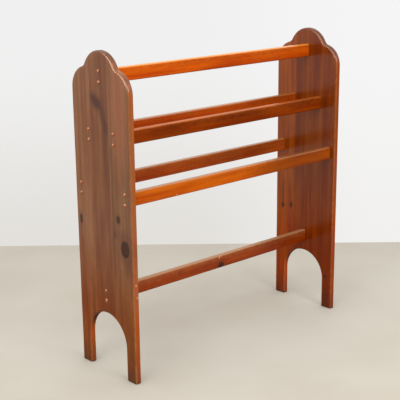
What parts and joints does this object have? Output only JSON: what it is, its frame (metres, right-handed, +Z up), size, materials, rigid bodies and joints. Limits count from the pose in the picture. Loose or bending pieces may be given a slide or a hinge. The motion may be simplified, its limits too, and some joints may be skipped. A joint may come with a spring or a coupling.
{
  "type": "quilt rack",
  "caption": "Free-standing wooden quilt or towel rack: scalloped board end panels on arched feet, joined by long round-edged rails screwed and plugged through the panels.",
  "frame": {"origin": "on the floor, midway between the two end panels and midway between front and back", "axes": "+Z up, +X along the rails towards the right end panel, -Y towards the front"},
  "size_m": [0.8144, 0.24, 0.88],
  "materials": {
    "board_pale": "stained pine board under gloss lacquer, lighter board",
    "board_mid": "stained pine board under gloss lacquer",
    "board_dark": "stained pine board under gloss lacquer, darker board",
    "rail_amber": "amber stained pine rail under gloss lacquer",
    "rail_red": "red-brown stained pine rail under gloss lacquer",
    "plug": "stained turned wood button plug under gloss lacquer",
    "screw": "yellow passivated steel wood screw"
  },
  "bodies": {
    "root": {"left_front_board": "board_pale", "left_middle_board": "board_dark", "left_back_board": "board_mid", "right_front_board": "board_dark", "right_middle_board": "board_mid", "right_back_board": "board_pale", "top_rail": "rail_amber", "upper_back_rail": "rail_red", "upper_front_rail": "rail_red", "lower_back_rail": "rail_red", "lower_front_rail": "rail_amber", "bottom_rail": "rail_red", "top_screws_left": "screw", "upper_back_screws_left": "screw", "upper_front_screws_left": "screw", "lower_back_screws_left": "screw", "lower_front_screws_left": "screw", "bottom_screws_left": "screw", "top_screws_right": "screw", "upper_back_screws_right": "screw", "upper_front_screws_right": "screw", "lower_back_screws_right": "screw", "lower_front_screws_right": "screw", "bottom_screws_right": "screw", "top_plugs_left": "plug", "upper_back_plugs_left": "plug", "upper_front_plugs_left": "plug", "lower_back_plugs_left": "plug", "lower_front_plugs_left": "plug", "bottom_plugs_left": "plug", "top_plugs_right": "plug", "upper_back_plugs_right": "plug", "upper_front_plugs_right": "plug", "lower_back_plugs_right": "plug", "lower_front_plugs_right": "plug", "bottom_plugs_right": "plug"}
  },
  "joints": []
}
